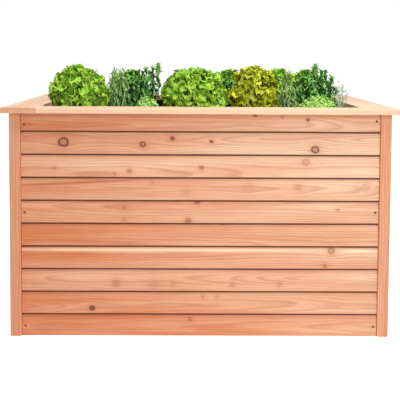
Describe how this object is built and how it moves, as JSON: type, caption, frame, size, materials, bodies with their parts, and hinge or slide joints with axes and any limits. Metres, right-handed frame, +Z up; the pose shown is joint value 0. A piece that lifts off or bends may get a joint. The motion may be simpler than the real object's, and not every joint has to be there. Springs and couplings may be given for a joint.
{
  "type": "raised garden bed",
  "caption": "Tall rectangular raised bed of bevelled softwood boards between square corner posts, with a flat overhanging cap, liner, filling and leafy plants.",
  "frame": {"origin": "middle of the footprint on the ground", "axes": "+X along the long front wall, to the right as seen from the front; -Y out of the front wall; +Z up"},
  "size_m": [1.372, 1.252, 0.953],
  "materials": {
    "wall_timber": "planed softwood, clear",
    "post_timber": "planed softwood, clear",
    "cap_timber": "planed softwood, clear",
    "batten_timber": "sawn softwood",
    "screw_steel": "plated",
    "liner_sheet": "matt black sheet",
    "mesh_wire": "galvanised",
    "branches": "bark",
    "compost": "crumbly",
    "soil": "crumbly",
    "curly_leaf": "waxy leaf",
    "yellow_leaf": "waxy leaf",
    "herb_leaf": "matt leaf",
    "mound_leaf": "matt leaf",
    "grey_leaf": "downy leaf"
  },
  "bodies": {
    "root": {"back_board_01": "wall_timber", "back_board_02": "wall_timber", "back_board_03": "wall_timber", "back_board_04": "wall_timber", "back_board_05": "wall_timber", "back_board_06": "wall_timber", "back_board_07": "wall_timber", "back_board_08": "wall_timber", "back_board_09": "wall_timber", "back_board_10": "wall_timber", "back_cap": "cap_timber", "back_left_batten": "batten_timber", "back_left_post": "post_timber", "back_middle_batten": "batten_timber", "back_right_batten": "batten_timber", "back_right_post": "post_timber", "back_row_herbs": "herb_leaf", "back_row_lettuces": "curly_leaf", "batten_screws": "screw_steel", "board_screws": "screw_steel", "cap_screws": "screw_steel", "compost_layer": "compost", "cross_tie": "batten_timber", "curly_lettuce_left": "curly_leaf", "curly_lettuce_middle": "curly_leaf", "drainage_layer": "branches", "front_board_01": "wall_timber", "front_board_02": "wall_timber", "front_board_03": "wall_timber", "front_board_04": "wall_timber", "front_board_05": "wall_timber", "front_board_06": "wall_timber", "front_board_07": "wall_timber", "front_board_08": "wall_timber", "front_board_09": "wall_timber", "front_board_10": "wall_timber", "front_cap": "cap_timber", "front_left_batten": "batten_timber", "front_left_post": "post_timber", "front_middle_batten": "batten_timber", "front_right_batten": "batten_timber", "front_right_post": "post_timber", "herb_mound_left": "mound_leaf", "herb_mound_right": "mound_leaf", "left_cap": "cap_timber", "left_wall_boards": "wall_timber", "middle_row_herbs": "herb_leaf", "middle_row_lettuces": "curly_leaf", "mint_sprigs": "herb_leaf", "oregano_left": "herb_leaf", "oregano_right": "herb_leaf", "right_cap": "cap_timber", "right_wall_boards": "wall_timber", "sage_sprigs": "grey_leaf", "silver_herb": "grey_leaf", "topsoil": "soil", "vole_mesh": "mesh_wire", "wall_liner": "liner_sheet", "yellow_lettuce": "yellow_leaf"}
  },
  "joints": []
}
